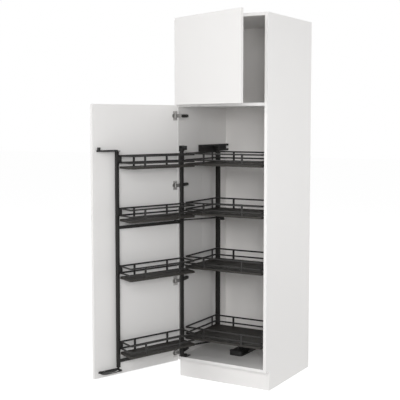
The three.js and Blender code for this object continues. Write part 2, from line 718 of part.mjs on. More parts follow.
function floorRunner() {
  const back = runnerFront + runnerLength;
  const nose = new THREE.Vector2(runnerX, runnerFront + runnerNoseRadius);
  const base = box(runnerX - runnerBaseWidth / 2, runnerX + runnerBaseWidth / 2, nose.y, back,
    bottomPanelTop, bottomPanelTop + runnerBaseHeight);
  const web = box(runnerX - runnerWebWidth / 2, runnerX + runnerWebWidth / 2, nose.y, back,
    bottomPanelTop, bottomPanelTop + runnerBaseHeight + runnerWebHeight);
  const left = new THREE.Vector2(runnerX - runnerBaseWidth / 2 + runnerNoseRadius, nose.y);
  const right = new THREE.Vector2(runnerX + runnerBaseWidth / 2 - runnerNoseRadius, nose.y);
  const bumperTop = bottomPanelTop + runnerNoseHeight;
  const bumper = uprightCapsule(left, right, runnerNoseRadius, bottomPanelTop, bumperTop);
  return join(base, web, bumper);
}

function driveLink(top) {
  const bottom = top + driveLinkGap;
  const end = driveReachClosed.clone().setLength(driveLinkLength).add(drivePoint);
  const bar = uprightCapsule(drivePoint, end, driveLinkHalfWidth, bottom, bottom + driveLinkThickness);
  const eyes = [drivePoint, end].map((centre) =>
    roundBar(centre, driveLinkEyeRadius, bottom, bottom + driveLinkThickness));
  const pin = roundBar(drivePoint, driveLinkPinRadius, top - driveLinkPinLength, bottom + overlap);
  return join(bar, ...eyes, pin);
}

// ---- Assembly ----
// A group that turns about an upright axis; what it holds is drawn where it lies when the group is closed.
function turned(axis, degrees, ...contents) {
  const closed = new THREE.Group();
  closed.position.set(-axis.x, -axis.y, 0);
  closed.add(...contents);
  const opened = new THREE.Group();
  opened.position.set(axis.x, axis.y, 0);
  opened.rotation.z = -THREE.MathUtils.degToRad(degrees);
  opened.add(closed);
  return opened;
}

const lowerDoorGroup = turned(hingeAxis, lowerDoorOpening,
  piece('lower_door', whiteFoil, door(lowerDoorBottom, lowerDoorTop, lowerHingeHeights)),
  ...hingePieces('lower_hinge_cup', lowerHingeHeights, nickelSteel, hingeCup),
  ...guidePieces()
);

const upperDoorGroup = turned(hingeAxis, upperDoorOpening,
  piece('upper_door', whiteFoil, door(upperDoorBottom, upperDoorTop, upperHingeHeights)),
  ...hingePieces('upper_hinge_cup', upperHingeHeights, nickelSteel, hingeCup)
);

const lowerLinkGroup = turned(armPivot, lowerDoorOpening,
  ...hingePieces('lower_hinge_link', lowerHingeHeights, nickelSteel, hingeLink));
const upperLinkGroup = turned(armPivot, upperDoorOpening,
  ...hingePieces('upper_hinge_link', upperHingeHeights, nickelSteel, hingeLink));

const doorFrameGroup = turned(framePivot, lowerDoorOpening,
  ...framePieces(), ...shelfRailHeights.flatMap((height, index) => doorShelfPieces(height, index + 1)));

const driveLinkGroup = turned(drivePoint, THREE.MathUtils.radToDeg(driveLinkTurn),
  piece('drive_link_low', anthraciteSteel, driveLink(crossbarTops[0])),
  piece('drive_link_middle', anthraciteSteel, driveLink(crossbarTops[1]))
);

const innerFrameGroup = new THREE.Group();
innerFrameGroup.position.y = -innerTravel;
innerFrameGroup.add(
  piece('inner_post', anthraciteSteel, innerPostPiece()),
  piece('low_carrier', anthraciteSteel, lowCarrier()),
  piece('middle_carrier', anthraciteSteel, middleCarrier()),
  ...shelfRailHeights.flatMap((height, index) => innerShelfPieces(height, index + 1)),
  driveLinkGroup
);

const caseGroup = new THREE.Group();
caseGroup.add(
  ...casePieces(),
  ...hingePieces('lower_hinge_arm', lowerHingeHeights, anthraciteSteel, hingeArm),
  ...hingePieces('upper_hinge_arm', upperHingeHeights, anthraciteSteel, hingeArm),
  piece('bottom_pivot_bracket', blackPlastic, bottomBracket()),
  piece('top_pivot_bracket', blackPlastic, topBracket()),
  piece('wall_rail', anthraciteSteel, wallRail()),
  piece('floor_runner', blackPlastic, floorRunner())
);

// The origin lies on the floor, under the middle of the plinth board.
const larder = new THREE.Group();
larder.position.set(-cabinetWidth / 2, -(plinthSetback + plinthBack) / 2, 0);
larder.add(caseGroup, lowerDoorGroup, upperDoorGroup, lowerLinkGroup, upperLinkGroup);
larder.add(doorFrameGroup, innerFrameGroup);

const model = new THREE.Group();
model.add(larder);
export default model;
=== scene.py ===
import json
import math

import bmesh
import bpy
from mathutils import Matrix, Vector

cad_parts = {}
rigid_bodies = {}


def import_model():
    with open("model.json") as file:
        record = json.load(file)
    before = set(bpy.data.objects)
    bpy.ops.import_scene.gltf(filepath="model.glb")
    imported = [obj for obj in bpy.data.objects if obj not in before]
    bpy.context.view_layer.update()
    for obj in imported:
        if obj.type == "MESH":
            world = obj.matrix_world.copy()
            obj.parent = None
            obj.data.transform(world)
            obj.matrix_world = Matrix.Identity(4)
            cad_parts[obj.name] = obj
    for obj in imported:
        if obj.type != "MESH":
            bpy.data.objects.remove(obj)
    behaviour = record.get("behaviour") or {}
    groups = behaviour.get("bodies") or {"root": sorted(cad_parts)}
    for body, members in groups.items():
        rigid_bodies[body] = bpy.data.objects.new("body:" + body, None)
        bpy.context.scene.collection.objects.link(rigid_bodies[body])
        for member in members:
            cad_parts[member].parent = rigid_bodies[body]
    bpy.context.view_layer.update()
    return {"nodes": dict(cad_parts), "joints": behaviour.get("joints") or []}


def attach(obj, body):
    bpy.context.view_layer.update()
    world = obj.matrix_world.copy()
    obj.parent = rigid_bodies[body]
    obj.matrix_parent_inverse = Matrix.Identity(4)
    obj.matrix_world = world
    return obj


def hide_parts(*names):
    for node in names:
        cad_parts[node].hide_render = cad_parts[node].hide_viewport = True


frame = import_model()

nodes = frame["nodes"]

# Details are laid out in millimetres with both doors closed: X from the left outer face of the case,
# Y from its front edge, Z from the floor. placeOf gives the matrix that brings them to the frame's
# metres with the doors as the frame holds them.
case = {"width": 600, "board": 18, "plinthMiddle": 53}
toFrame = Matrix.Scale(0.001, 4) @ Matrix.Translation((-case["width"] / 2, -case["plinthMiddle"], 0))
jointOf = {joint["child"]: joint for joint in frame["joints"]}


def placeOf(body):
    joint = jointOf.get(body)
    if joint is None:
        return toFrame
    axis = Vector(joint["axis"])
    if joint["type"] == "slide":
        opening = Matrix.Translation(-joint["range_m"][0] * axis)
    else:
        pivot = Matrix.Translation(joint["pos_m"])
        opening = pivot @ Matrix.Rotation(-math.radians(joint["range_deg"][0]), 4, axis) @ pivot.inverted()
    return opening @ placeOf(joint["parent"])


# A socket that can stand in a sum: 1 - mask or cloud * 0.2 adds the Math nodes it needs.
class Wire:
    def __init__(self, tree, socket):
        self.tree = tree
        self.socket = socket

    def sum(self, operation, first, second):
        return self.tree.add("ShaderNodeMath", {"operation": operation}, {0: first, 1: second})

    def __add__(self, other):
        return self.sum("ADD", self, other)

    def __radd__(self, other):
        return self.sum("ADD", other, self)

    def __sub__(self, other):
        return self.sum("SUBTRACT", self, other)

    def __rsub__(self, other):
        return self.sum("SUBTRACT", other, self)

    def __mul__(self, other):
        return self.sum("MULTIPLY", self, other)

    def __rmul__(self, other):
        return self.sum("MULTIPLY", other, self)


# A shader or geometry tree. Its one method adds any node: settings first, then values or wires.
class Tree:
    def __init__(self, group):
        self.group = group

    def add(self, kind, settings=None, inputs=None, output=0):
        node = self.group.nodes.new(kind)
        for name, value in (settings or {}).items():
            if name == "stops":
                for element, (place, colour) in zip(node.color_ramp.elements, value):
                    element.position, element.color = place, colour
            else:
                setattr(node, name, value)
        for name, value in (inputs or {}).items():
            if isinstance(value, Wire):
                self.group.links.new(value.socket, node.inputs[name])
            else:
                node.inputs[name].default_value = value
        return Wire(self, node.outputs[output]) if node.outputs else None


def newPaint(name):
    material = bpy.data.materials.new(name)
    material.use_nodes = True
    material.node_tree.nodes.clear()
    return material, Tree(material.node_tree)


def grey(level, warmth=0.0):
    return (level * (1 + warmth), level, level * (1 - warmth), 1)


def noise(paint, where, scale, detail):
    return paint.add("ShaderNodeTexNoise", {}, {"Vector": where, "Scale": scale, "Detail": detail})


def between(paint, factor, low, high):
    return paint.add("ShaderNodeMix", {"data_type": "RGBA"}, {0: factor, 6: low, 7: high}, 2)


# Every finish has slow clouds and scattered flecks in its colour, and a fine grain that lifts the surface.
coat = {"cloudDetail": 3.0, "cloudLift": 0.3, "cloudRoughness": 0.06, "middle": 0.5, "fleckStart": 0.7,
        "fleckEnd": 1.3, "edgeSamples": 4}


def coatedPaint(name, look):
    material, paint = newPaint(name)
    where = paint.add("ShaderNodeTexCoord", output="Object")
    cloud = noise(paint, where, look["cloudScale"], coat["cloudDetail"])
    along = where
    if look["stretch"]:
        along = paint.add("ShaderNodeMapping", {}, {"Vector": where, "Scale": look["stretch"]})
    grain = noise(paint, along, look["grainScale"], look["grainDetail"])
    speck = paint.add("ShaderNodeTexVoronoi", {}, {"Vector": where, "Scale": look["speckScale"]})
    fleck = paint.add("ShaderNodeValToRGB", {"stops": [
        (look["speckSize"] * coat["fleckStart"], grey(1.0)),
        (look["speckSize"] * coat["fleckEnd"], grey(0.0))]}, {"Fac": speck})
    shade = between(paint, cloud, look["low"], look["high"])
    shade = between(paint, fleck * look["speckShare"], shade, look["speck"])
    relief = {"Strength": look["reliefStrength"], "Distance": look["relief"],
              "Height": grain + cloud * coat["cloudLift"]}
    if look["edge"]:
        relief["Normal"] = paint.add("ShaderNodeBevel", {"samples": coat["edgeSamples"]},
                                     {"Radius": look["edge"]})
    roughness = look["roughness"] + (grain - coat["middle"]) * look["roughnessSwing"]
    shader = paint.add("ShaderNodeBsdfPrincipled", {}, {
        "Base Color": shade,
        "Roughness": roughness + (cloud - coat["middle"]) * coat["cloudRoughness"],
        "Metallic": look["metallic"],
        "Specular IOR Level": look["specular"],
        "Normal": paint.add("ShaderNodeBump", {}, relief),
    })
    paint.add("ShaderNodeOutputMaterial", {}, {"Surface": shader})
    return material


looks = {
    "white_foil": {
        "low": grey(0.86, 0.014), "high": grey(0.88, 0.014), "speck": grey(0.83, 0.018), "speckShare": 0.15,
        "cloudScale": 2.5, "grainScale": 420, "grainDetail": 2.0, "speckScale": 260, "speckSize": 0.1,
        "relief": 0.00012, "reliefStrength": 0.12, "roughness": 0.4, "roughnessSwing": 0.12, "metallic": 0,
        "specular": 0.45, "stretch": None, "edge": 0},
    "white_board": {
        "low": grey(0.83, 0.022), "high": grey(0.86, 0.022), "speck": grey(0.79, 0.025), "speckShare": 0.25,
        "cloudScale": 4.0, "grainScale": 300, "grainDetail": 2.0, "speckScale": 200, "speckSize": 0.14,
        "relief": 0.0002, "reliefStrength": 0.15, "roughness": 0.6, "roughnessSwing": 0.14, "metallic": 0,
        "specular": 0.35, "stretch": None, "edge": 0},
    "anthracite_steel": {
        "low": grey(0.011, 0.06), "high": grey(0.016, 0.06), "speck": grey(0.035, 0.03), "speckShare": 0.4,
        "cloudScale": 14, "grainScale": 900, "grainDetail": 2.0, "speckScale": 900, "speckSize": 0.16,
        "relief": 0.0003, "reliefStrength": 0.3, "roughness": 0.5, "roughnessSwing": 0.2, "metallic": 0,
        "specular": 0.25, "stretch": None, "edge": 0.0012},
    "shelf_rail_steel": {
        "low": grey(0.012, 0.05), "high": grey(0.018, 0.05), "speck": grey(0.04, 0.02), "speckShare": 0.3,
        "cloudScale": 18, "grainScale": 1100, "grainDetail": 2.0, "speckScale": 1000, "speckSize": 0.14,
        "relief": 0.0002, "reliefStrength": 0.25, "roughness": 0.42, "roughnessSwing": 0.16, "metallic": 0,
        "specular": 0.35, "stretch": None, "edge": 0},
    "dark_tray_board": {
        "low": grey(0.014, 0.14), "high": grey(0.022, 0.14), "speck": grey(0.034, 0.1), "speckShare": 0.5,
        "cloudScale": 9, "grainScale": 160, "grainDetail": 5.0, "speckScale": 420, "speckSize": 0.22,
        "relief": 0.0003, "reliefStrength": 0.25, "roughness": 0.55, "roughnessSwing": 0.2, "metallic": 0,
        "specular": 0.35, "stretch": (1, 6, 1), "edge": 0},
    "nickel_steel": {
        "low": grey(0.52, 0.02), "high": grey(0.6, 0.02), "speck": grey(0.45, 0.02), "speckShare": 0.2,
        "cloudScale": 30, "grainScale": 500, "grainDetail": 2.0, "speckScale": 600, "speckSize": 0.1,
        "relief": 0.00008, "reliefStrength": 0.2, "roughness": 0.42, "roughnessSwing": 0.16,
        "metallic": 0.75, "specular": 0.5, "stretch": (1, 1, 0.08), "edge": 0.0006},
    "black_plastic": {
        "low": grey(0.009), "high": grey(0.013), "speck": grey(0.02), "speckShare": 0.3,
        "cloudScale": 20, "grainScale": 1300, "grainDetail": 2.0, "speckScale": 1200, "speckSize": 0.2,
        "relief": 0.0002, "reliefStrength": 0.35, "roughness": 0.5, "roughnessSwing": 0.14, "metallic": 0,
        "specular": 0.35, "stretch": None, "edge": 0.001},
}
paints = {slot: coatedPaint(slot, look) for slot, look in looks.items()}
print("Materials made:", ", ".join(sorted(paints)))


def newObject(name, data):
    item = bpy.data.objects.new(name, data)
    bpy.context.scene.collection.objects.link(item)
    return item


def meshOf(shape):
    mesh = bpy.data.meshes.new("shape")
    shape.to_mesh(mesh)
    shape.free()
    return mesh


# Turns what an object's modifiers make into a plain mesh and drops the object.
def settled(piece):
    graph = bpy.context.evaluated_depsgraph_get()
    mesh = bpy.data.meshes.new_from_object(piece.evaluated_get(graph), depsgraph=graph)
    piece.modifiers.clear()
    bpy.data.objects.remove(piece)
    return mesh


def joined(meshes):
    shape = bmesh.new()
    for mesh in meshes:
        shape.from_mesh(mesh)
    return meshOf(shape)


# A finished piece: painted, smooth up to an angle in degrees, riding on its body.
smooth = {"fittings": 35, "boards": 30}


def dressed(name, body, mesh, slot, stands=(), angle=smooth["fittings"]):
    mesh.name = name
    mesh.materials.clear()
    mesh.materials.append(paints[slot])
    mesh.shade_smooth()
    mesh.set_sharp_from_angle(angle=math.radians(angle))
    piece = newObject(name, mesh)
    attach(piece, body)
    if stands:
        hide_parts(*stands)
    return piece


# Brings a mesh drawn in closed millimetres to its body's place first.
def fitted(name, body, mesh, slot, stands=()):
    mesh.transform(placeOf(body))
    return dressed(name, body, mesh, slot, stands)


def geometryTree(name, sockets):
    group = bpy.data.node_groups.new(name, "GeometryNodeTree")
    group.interface.new_socket("Geometry", in_out="INPUT", socket_type="NodeSocketGeometry")
    for label, kind in sockets.items():
        group.interface.new_socket(label, in_out="INPUT", socket_type="NodeSocket" + kind)
    group.interface.new_socket("Geometry", in_out="OUTPUT", socket_type="NodeSocketGeometry")
    tree = Tree(group)
    entry = group.nodes.new("NodeGroupInput")
    return tree, {socket.name: Wire(tree, socket) for socket in entry.outputs if socket.name}


# Every tree ends in real geometry with its finish set.
def endTree(tree, geometry, finish):
    real = tree.add("GeometryNodeRealizeInstances", {}, {"Geometry": geometry})
    painted = tree.add("GeometryNodeSetMaterial", {}, {"Geometry": real, "Material": finish})
    tree.add("NodeGroupOutput", {}, {"Geometry": painted})
    return tree.group


# Grows a tree on a mesh and gives the result as a plain mesh.
def grown(name, mesh, group, values):
    piece = newObject(name, mesh)
    modifier = piece.modifiers.new(group.name, "NODES")
    modifier.node_group = group
    for item in group.interface.items_tree:
        if item.in_out == "INPUT" and item.name in values:
            modifier[item.identifier] = values[item.name]
    return settled(piece)


# Bars and tubes: a rounded section swept along edges. Width lies flat, Height stands up on a level bar.
def sweptBarTree():
    tree, given = geometryTree("sweptBar", {"Width": "Float", "Height": "Float", "Round": "Float",
                                            "Round Steps": "Int", "Finish": "Material"})
    path = tree.add("GeometryNodeMeshToCurve", {}, {"Mesh": given["Geometry"]})
    upright = tree.add("GeometryNodeSetCurveNormal", {"mode": "Z_UP"}, {"Curve": path})
    section = tree.add("GeometryNodeCurvePrimitiveQuadrilateral", {"mode": "RECTANGLE"},
                       {"Width": given["Width"], "Height": given["Height"]})
    rounding = tree.add("GeometryNodeFilletCurve", {"mode": "POLY"},
                        {"Curve": section, "Count": given["Round Steps"], "Radius": given["Round"]})
    bar = tree.add("GeometryNodeCurveToMesh", {},
                   {"Curve": upright, "Profile Curve": rounding, "Fill Caps": True})
    return endTree(tree, bar, given["Finish"])


# Screw heads: a low cone with a cross cut into it, set on points and turned along each point's facing.
screwHead = {"sides": 20, "topShare": 0.72, "crossLength": 1.15, "crossWidth": 0.24, "mostTurn": 1.5}


def screwHeadTree():
    tree, given = geometryTree("screwHeads", {"Radius": "Float", "Height": "Float", "Seed": "Int",
                                              "Finish": "Material"})
    radius, height = given["Radius"], given["Height"]
    head = tree.add("GeometryNodeMeshCone", {}, {
        "Vertices": screwHead["sides"], "Radius Top": radius * screwHead["topShare"],
        "Radius Bottom": radius, "Depth": height}, "Mesh")
    lift = tree.add("ShaderNodeCombineXYZ", {}, {2: height})
    length, width = screwHead["crossLength"], screwHead["crossWidth"]
    for alongX, alongY in ((length, width), (width, length)):
        size = tree.add("ShaderNodeCombineXYZ", {}, {0: radius * alongX, 1: radius * alongY, 2: height})
        arm = tree.add("GeometryNodeMeshCube", {}, {"Size": size}, "Mesh")
        raised = tree.add("GeometryNodeTransform", {}, {"Geometry": arm, "Translation": lift})
        head = tree.add("GeometryNodeMeshBoolean", {"operation": "DIFFERENCE"},
                        {"Mesh 1": head, "Mesh 2": raised})
    facing = tree.add("GeometryNodeInputNamedAttribute", {"data_type": "FLOAT_VECTOR"}, {"Name": "facing"})
    aim = tree.add("FunctionNodeAlignRotationToVector", {"axis": "Z"}, {"Vector": facing})
    turn = tree.add("FunctionNodeRandomValue", {"data_type": "FLOAT"},
                    {2: 0.0, 3: screwHead["mostTurn"], "Seed": given["Seed"]}, 1)
    spin = tree.add("ShaderNodeCombineXYZ", {}, {2: turn})
    rotation = tree.add("FunctionNodeRotateRotation", {"rotation_space": "LOCAL"},
                        {"Rotation": aim, "Rotate By": spin})
    screws = tree.add("GeometryNodeInstanceOnPoints", {},
                      {"Points": given["Geometry"], "Instance": head, "Rotation": rotation})
    return endTree(tree, screws, given["Finish"])


# Rows of round rods on points, along X, that cut the shelf pin holes.
pinHole = {"sides": 14, "radius": 2.5, "depth": 11, "pitch": 32, "columns": (43, 270),
           "rows": ((324, 1580), (1744, 2050))}


def holeRowTree():
    tree, given = geometryTree("holeRow", {"Radius": "Float", "Depth": "Float", "Finish": "Material"})
    rod = tree.add("GeometryNodeMeshCylinder", {}, {
        "Vertices": pinHole["sides"], "Radius": given["Radius"], "Depth": given["Depth"]}, "Mesh")
    rods = tree.add("GeometryNodeInstanceOnPoints", {}, {
        "Points": given["Geometry"], "Instance": rod, "Rotation": (0, math.pi / 2, 0)})
    return endTree(tree, rods, given["Finish"])


sweptBar = sweptBarTree()
screwHeads = screwHeadTree()
holeRow = holeRowTree()
print("Geometry trees made:", ", ".join(group.name for group in (sweptBar, screwHeads, holeRow)))


def edgeMesh(paths, closed):
    mesh = bpy.data.meshes.new("path")
    points, edges = [], []
    for path in paths:
        first = len(points)
        points += path
        edges += [(first + i, first + i + 1) for i in range(len(path) - 1)]
        if closed:
            edges.append((len(points) - 1, first))
    mesh.from_pydata(points, edges, [])
    return mesh


def pointMesh(spots):
    mesh = bpy.data.meshes.new("points")
    mesh.from_pydata([spot[:3] for spot in spots], [], [])
    if len(spots[0]) > 3:
        facing = mesh.attributes.new("facing", "FLOAT_VECTOR", "POINT")
        facing.data.foreach_set("vector", [value for spot in spots for value in spot[3:6]])
    return mesh


# Moves a closed outline, seen from above, outwards.
def moved(corners, distance):
    result = []
    for index, corner in enumerate(corners):
        inward = (corner - corners[index - 1]).normalized()
        outward = (corners[(index + 1) % len(corners)] - corner).normalized()
        normalIn, normalOut = Vector((inward.y, -inward.x)), Vector((outward.y, -outward.x))
        result.append(corner + (normalIn + normalOut) * distance / (1 + normalIn.dot(normalOut)))
    return result


def rounded(corners, radius, steps=8):
    outline = []
    for index, corner in enumerate(corners):
        toBefore = (corners[index - 1] - corner).normalized()
        toAfter = (corners[(index + 1) % len(corners)] - corner).normalized()
        half = toBefore.angle(toAfter) / 2
        start = corner + toBefore * radius / math.tan(half)
        centre = corner + (toBefore + toAfter).normalized() * radius / math.sin(half)
        sweep = math.pi - 2 * half
        for step in range(steps + 1):
            outline.append(centre + Matrix.Rotation(sweep * step / steps, 2) @ (start - centre))
    return outline


# Boards, doors and fittings keep the frame's shape, merged to clean faces and softened on sharp edges.
# Lengths here are in metres and angles in degrees.
clean = {"merge": 1e-5, "flat": 1, "sharp": 50, "steps": 2}
boards = {"caseEdge": 0.0006, "doorEdge": 0.0011}


def cleanCopy(node):
    shape = bmesh.new()
    shape.from_mesh(nodes[node].data)
    bmesh.ops.remove_doubles(shape, verts=shape.verts, dist=clean["merge"])
    bmesh.ops.dissolve_limit(shape, angle_limit=math.radians(clean["flat"]), verts=shape.verts,
                             edges=shape.edges)
    return meshOf(shape)


def softened(piece, edge):
    bevel = piece.modifiers.new("soft edge", "BEVEL")
    bevel.width = edge
    bevel.segments = clean["steps"]
    bevel.limit_method = "ANGLE"
    bevel.angle_limit = math.radians(clean["sharp"])
    bevel.harden_normals = True


def drilled(mesh, spots):
    cutter = newObject("pin holes", grown("rods", pointMesh(spots), holeRow, {
        "Radius": pinHole["radius"], "Depth": 2 * pinHole["depth"], "Finish": paints["white_board"]}))
    cutter.data.transform(toFrame)
    board = newObject("board", mesh)
    modifier = board.modifiers.new("holes", "BOOLEAN")
    modifier.operation = "DIFFERENCE"
    modifier.solver = "EXACT"
    modifier.object = cutter
    result = settled(board)
    bpy.data.objects.remove(cutter)
    return result


def holeSpots(face):
    heights = []
    for low, high in pinHole["rows"]:
        heights += range(low, high + 1, pinHole["pitch"])
    return [(face, y, z) for y in pinHole["columns"] for z in heights]


def boardPiece(name, body, node, slot, edge, mesh=None):
    softened(dressed(name, body, mesh or cleanCopy(node), slot, (node,), smooth["boards"]), edge)


for side, face in (("left", case["board"]), ("right", case["width"] - case["board"])):
    node = "side_panel_" + side
    boardPiece("side_board_" + side, "case", node, "white_foil", boards["caseEdge"],
               drilled(cleanCopy(node), holeSpots(face)))
for node in ("top_panel", "fixed_shelf", "bottom_panel", "plinth_board"):
    boardPiece(node + "_board", "case", node, "white_foil", boards["caseEdge"])
for node in ("back_panel", "back_rail_top", "back_rail_bottom"):
    boardPiece(node + "_board", "case", node, "white_board", boards["caseEdge"])
for node in ("lower_door", "upper_door"):
    boardPiece(node + "_front", node, node, "white_foil", boards["doorEdge"])
print("Boards and doors made")


# Shelf rails: two rings above a tray, flat posts between them and hooks on the frame's tubes.
rail = {"tops": (309, 738, 1061, 1354), "width": 6, "height": 9, "round": 1.8, "roundSteps": 3, "drop": 38,
        "gallery": 71, "corner": 10, "postWidth": 13, "postThickness": 4, "postRound": 1.2, "seat": 0.3,
        "hookThickness": 3, "hookHeight": 48, "hookReach": 24, "hookRound": 1.0}
# Trays: soft outer edges, and a lip given as steps inwards and down to the sunk middle.
tray = {"height": 12, "overhang": 3.5, "soft": 0.9, "softMiddle": 0.25,
        "lip": ((3.2, 0), (3.6, 0.2), (3.9, 1.4), (4.3, 1.6))}
# Door shelves: the ends of their back and front edges are measured from the pivot tube.
doorShelf = {"pivotTube": (82.5, 14.8), "outerTubeX": 546.5, "tubeSize": 18, "depth": 129.3,
             "backEnds": (12, 455), "frontEnds": (20, 476), "posts": (0.25, 0.78)}
innerShelf = {"post": (46, 570), "postSize": 24, "behind": 11.5, "depth": 374.5, "sides": (45.5, 552),
              "posts": (0.25, 0.75), "leftPost": (0.87,), "rightPost": (0.5,)}


def sweptMesh(paths, width, height, corner, closed=False):
    return grown("bar", edgeMesh(paths, closed), sweptBar, {
        "Width": width, "Height": height, "Round": corner, "Round Steps": rail["roundSteps"],
        "Finish": paints["shelf_rail_steel"]})


# Posts at shares of the way from one corner to another, with their flat side along X or Y.
def postsOn(start, end, shares, along="x"):
    return [(start.lerp(end, share), along) for share in shares]


def railsOf(corners, top, posts):
    outline = [(point.x, point.y) for point in rounded(corners, rail["corner"])]
    rings = [[(x, y, top - drop) for x, y in outline] for drop in (0, rail["drop"])]
    meshes = [sweptMesh(rings, rail["width"], rail["height"], rail["round"], closed=True)]
    foot = top - rail["gallery"] + tray["height"] + rail["seat"]
    for along, width, depth in (("x", rail["postWidth"], rail["postThickness"]),
                                ("y", rail["postThickness"], rail["postWidth"])):
        paths = [[(at.x, at.y, foot), (at.x, at.y, top)] for at, way in posts if way == along]
        if paths:
            meshes.append(sweptMesh(paths, width, depth, rail["postRound"]))
    return meshes


def hookMesh(x0, x1, y0, y1, railTop):
    top = railTop + rail["height"] / 2
    x, y = (x0 + x1) / 2, (y0 + y1) / 2
    corner = min(rail["hookRound"], (y1 - y0) / 3)
    return sweptMesh([[(x, y, top - rail["hookHeight"]), (x, y, top)]], x1 - x0, y1 - y0, corner)


def trayMesh(corners, railTop):
    bottom = railTop - rail["gallery"]
    top, soft, middle = tray["height"], tray["soft"], tray["softMiddle"]
    profile = [(soft, 0), (middle, middle), (0, soft), (0, top - soft), (middle, top - middle), (soft, top)]
    profile += [(inset, top - fall) for inset, fall in tray["lip"]]
    shape = bmesh.new()
    loops = []
    for inset, rise in profile:
        reach = tray["overhang"] - inset
        outline = rounded(moved(corners, reach), rail["corner"] + reach)
        loops.append([shape.verts.new((point.x, point.y, bottom + rise)) for point in outline])
    for lower, upper in zip(loops, loops[1:]):
        for index in range(len(lower)):
            after = (index + 1) % len(lower)
            shape.faces.new((lower[index], lower[after], upper[after], upper[index]))
    shape.faces.new(loops[0][::-1])
    shape.faces.new(loops[-1])
    return meshOf(shape)


def shelfPieces(stack, number, corners, top, meshes):
    body = stack + "_shelf_frame"
    fitted(f"{stack}_basket_{number}", body, joined(meshes), "shelf_rail_steel",
           (f"{stack}_shelf_rail_{number}",))
    fitted(f"{stack}_tray_{number}", body, trayMesh(corners, top), "dark_tray_board",
           (f"{stack}_shelf_tray_{number}",))


def makeDoorShelf(number, top):
    tubeX, tubeY = doorShelf["pivotTube"]
    half = doorShelf["tubeSize"] / 2
    back = tubeY + half + rail["seat"] + rail["width"] / 2
    front = back + doorShelf["depth"]
    backLeft, backRight = (Vector((tubeX + end, back)) for end in doorShelf["backEnds"])
    frontLeft, frontRight = (Vector((tubeX + end, front)) for end in doorShelf["frontEnds"])
    corners = [backLeft, backRight, frontRight, frontLeft]
    posts = postsOn(backLeft, backRight, doorShelf["posts"])
    posts += postsOn(frontLeft, frontRight, doorShelf["posts"])
    meshes = railsOf(corners, top, posts)
    hookBack = back - rail["width"] / 2
    for start in (tubeX - half, doorShelf["outerTubeX"] - rail["hookReach"]):
        meshes.append(hookMesh(start, start + rail["hookReach"] + half, hookBack,
                               hookBack + rail["hookThickness"], top))
    shelfPieces("door", number, corners, top, meshes)


def makeInnerShelf(number, top):
    postX, postY = innerShelf["post"]
    half = innerShelf["postSize"] / 2
    back = postY - half - innerShelf["behind"]
    front = back - innerShelf["depth"]
    frontLeft, frontRight = (Vector((x, front)) for x in innerShelf["sides"])
    backLeft, backRight = (Vector((x, back)) for x in innerShelf["sides"])
    corners = [frontLeft, frontRight, backRight, backLeft]
    posts = postsOn(frontLeft, frontRight, innerShelf["posts"])
    posts += postsOn(backLeft, backRight, innerShelf["posts"])
    posts += postsOn(frontLeft, backLeft, innerShelf["leftPost"], "y")
    posts += postsOn(frontRight, backRight, innerShelf["rightPost"], "y")
    meshes = railsOf(corners, top, posts)
    meshes.append(hookMesh(backLeft.x - rail["width"] / 2, postX + half + rail["corner"],
                           back - rail["width"] / 2, postY - half - rail["seat"], top))
    shelfPieces("inner", number, corners, top, meshes)


for index, height in enumerate(rail["tops"]):
    makeDoorShelf(index + 1, height)
    makeInnerShelf(index + 1, height)
print("Shelves made")


# Metal and plastic fittings: which nodes, on which body, how round their sharp edges are in metres.
fittings = {
    "tubes": {"edge": 0.0004, "body": "door_shelf_frame", "slot": "anthracite_steel",
              "nodes": ("frame_pivot_tube", "frame_outer_tube", "frame_low_bar", "frame_middle_bar")},
    "guides": {"edge": 0.0006, "body": "lower_door", "slot": "black_plastic",
               "nodes": ("top_guide", "bottom_guide")},
    "carriers": {"edge": 0.0006, "body": "inner_shelf_frame", "slot": "anthracite_steel",
                 "nodes": ("inner_post", "low_carrier", "middle_carrier")},
    "drive links": {"edge": 0.0005, "body": "drive_links", "slot": "anthracite_steel",
                    "nodes": ("drive_link_low", "drive_link_middle")},
    "brackets": {"edge": 0.0006, "body": "case", "slot": "black_plastic",
                 "nodes": ("bottom_pivot_bracket", "top_pivot_bracket", "floor_runner")},
    "wall rail": {"edge": 0.0005, "body": "case", "slot": "anthracite_steel", "nodes": ("wall_rail",)},
    "arms": {"edge": 0.0004, "body": "case", "slot": "anthracite_steel",
             "nodes": tuple(name for name in nodes if "hinge_arm" in name)},
    "lower cups": {"edge": 0.0003, "body": "lower_door", "slot": "nickel_steel",
                   "nodes": tuple(name for name in nodes if name.startswith("lower_hinge_cup"))},
    "upper cups": {"edge": 0.0003, "body": "upper_door", "slot": "nickel_steel",
                   "nodes": tuple(name for name in nodes if name.startswith("upper_hinge_cup"))},
    "lower links": {"edge": 0.0002, "body": "lower_hinge_links", "slot": "nickel_steel",
                    "nodes": tuple(name for name in nodes if name.startswith("lower_hinge_link"))},
    "upper links": {"edge": 0.0002, "body": "upper_hinge_links", "slot": "nickel_steel",
                    "nodes": tuple(name for name in nodes if name.startswith("upper_hinge_link"))},
}
for fitting in fittings.values():
    for node in fitting["nodes"]:
        piece = dressed(node + "_part", fitting["body"], cleanCopy(node), fitting["slot"], (node,))
        softened(piece, fitting["edge"])
print("Fittings made:", ", ".join(fittings))


# Screws: a spot is a point and the way that the head faces.
hinges = {"lower": (165, 600, 1168, 1576), "upper": (1740.5, 2044.5), "screwX": 24.0, "plateFace": -0.2,
          "screwSide": 22.5}
runner = {"x": 305, "top": 137, "screwY": (300, 400, 480), "screwSide": 32}
brackets = {"x": 56, "floorY": (40, 50), "top": 136, "wallFace": 22, "wallY": 46,
            "wallHeights": (1376, 1390)}
guides = {"x": (462, 532), "face": 1.3, "heights": (148, 1381)}


